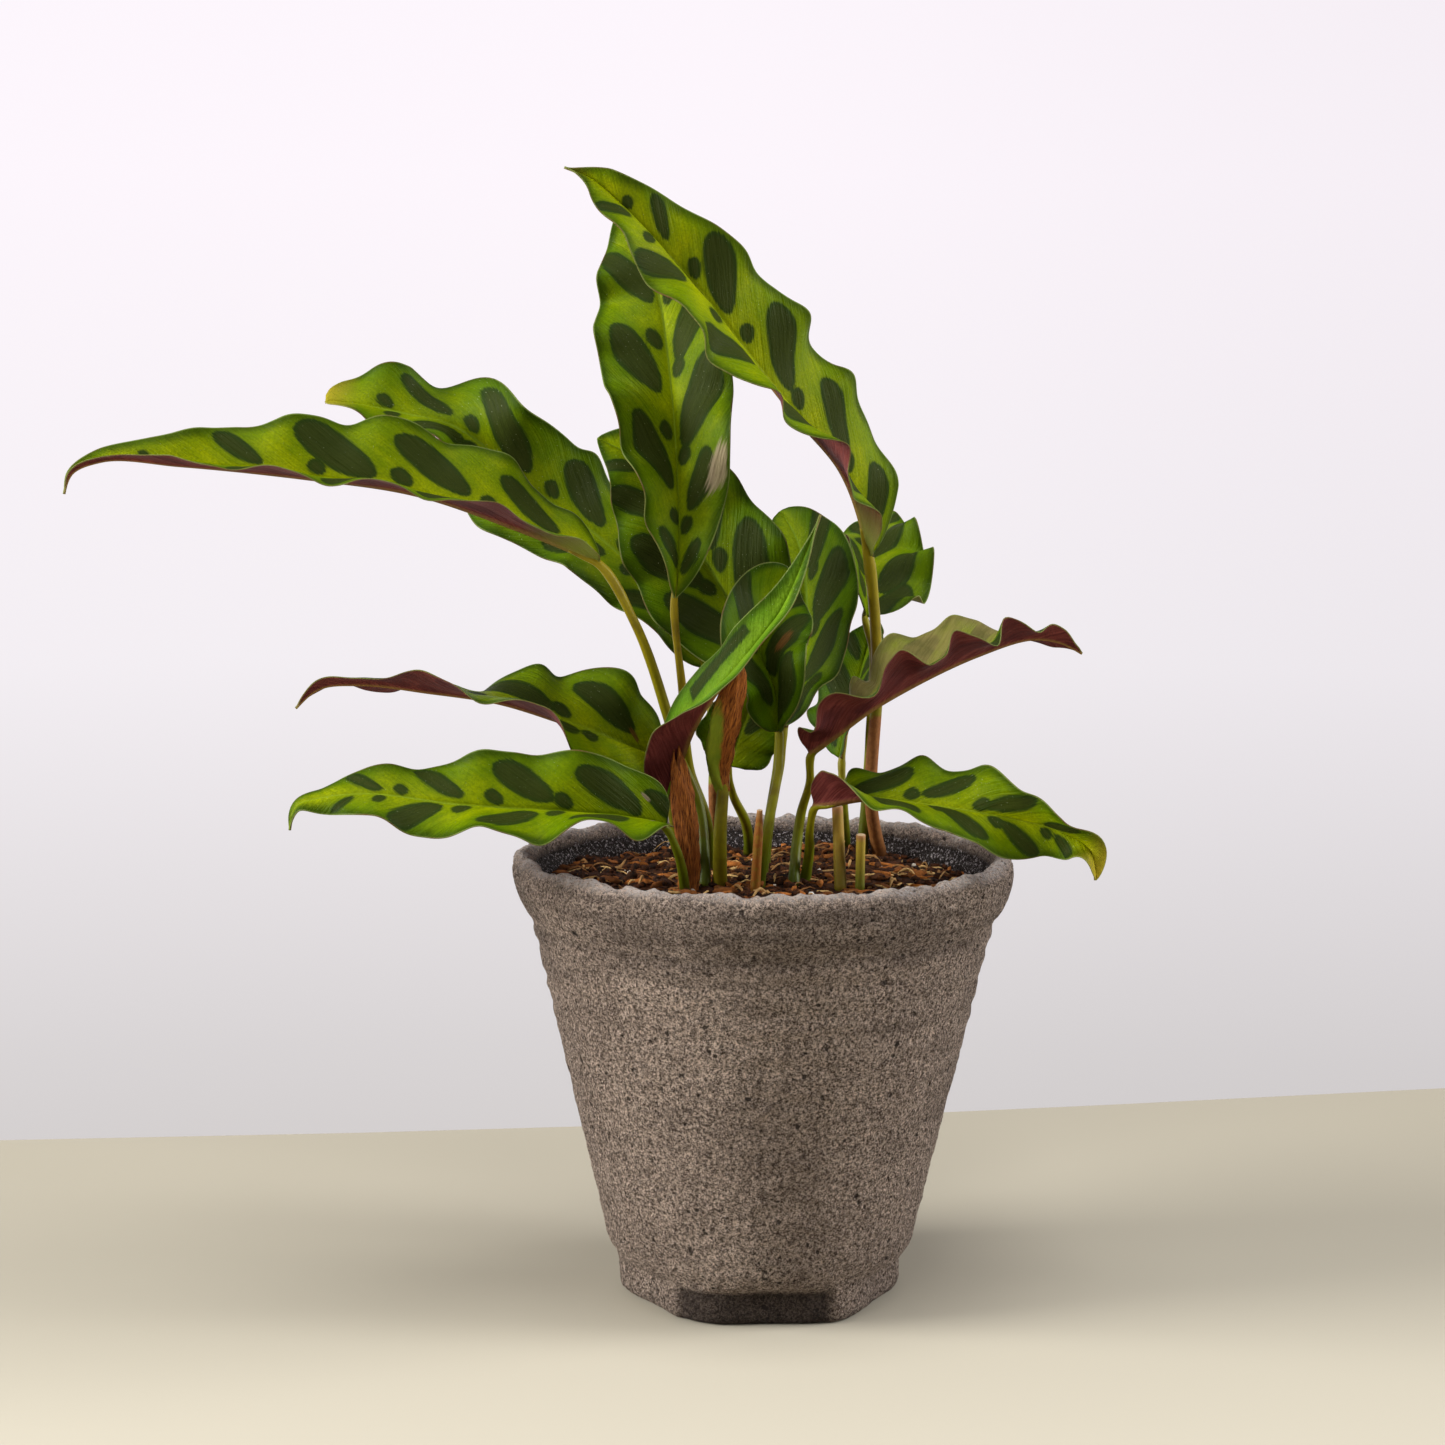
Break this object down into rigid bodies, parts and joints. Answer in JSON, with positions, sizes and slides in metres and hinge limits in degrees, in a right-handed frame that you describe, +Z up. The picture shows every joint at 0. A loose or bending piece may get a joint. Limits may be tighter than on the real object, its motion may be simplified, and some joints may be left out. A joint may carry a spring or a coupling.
{
  "type": "potted calathea",
  "caption": "Living rattlesnake calathea with long wavy blotched leaves, maroon beneath, rooted in soil in a grey-brown moulded fibre pot",
  "frame": {"origin": "centre of the pot's foot, on the ground", "axes": "+Z up along the pot's axis; -Y is the front shown in the picture; +X to the right of it"},
  "size_m": [0.2575, 0.1573, 0.2925],
  "materials": {
    "moulded_fibre": "rough felted",
    "potting_soil": "crumbly matte",
    "leaf": "satin",
    "young_leaf": "satin",
    "leaf_stalk": "satin",
    "cut_stem": "matte",
    "dry_sheath": "matte"
  },
  "bodies": {
    "root": {"pot": "moulded_fibre", "soil": "potting_soil", "leaf_tall_arch": "leaf", "leaf_upright_centre": "leaf", "leaf_long_left": "leaf", "leaf_back_left": "leaf", "leaf_centre_back": "leaf", "leaf_young_front": "young_leaf", "leaf_small_dark": "leaf", "leaf_lower_centre": "leaf", "leaf_right_back_tall": "leaf", "leaf_dark_back_right": "leaf", "leaf_right_upper_back": "leaf", "leaf_right_twisted": "leaf", "leaf_lower_right": "leaf", "leaf_left_middle": "leaf", "leaf_left_low": "leaf", "stalk_tall_arch": "leaf_stalk", "stalk_upright_centre": "leaf_stalk", "stalk_long_left": "leaf_stalk", "stalk_back_left": "leaf_stalk", "stalk_centre_back": "leaf_stalk", "stalk_young_front": "leaf_stalk", "stalk_small_dark": "leaf_stalk", "stalk_lower_centre": "leaf_stalk", "stalk_right_back_tall": "leaf_stalk", "stalk_dark_back_right": "leaf_stalk", "stalk_right_upper_back": "leaf_stalk", "stalk_right_twisted": "leaf_stalk", "stalk_lower_right": "leaf_stalk", "stalk_left_middle": "leaf_stalk", "stalk_left_low": "leaf_stalk", "bract_stem": "leaf_stalk", "cut_stub_orange": "cut_stem", "cut_stub_thick": "cut_stem", "cut_stub_short": "cut_stem", "dry_bract": "dry_sheath", "dry_sheath": "dry_sheath"}
  },
  "joints": []
}
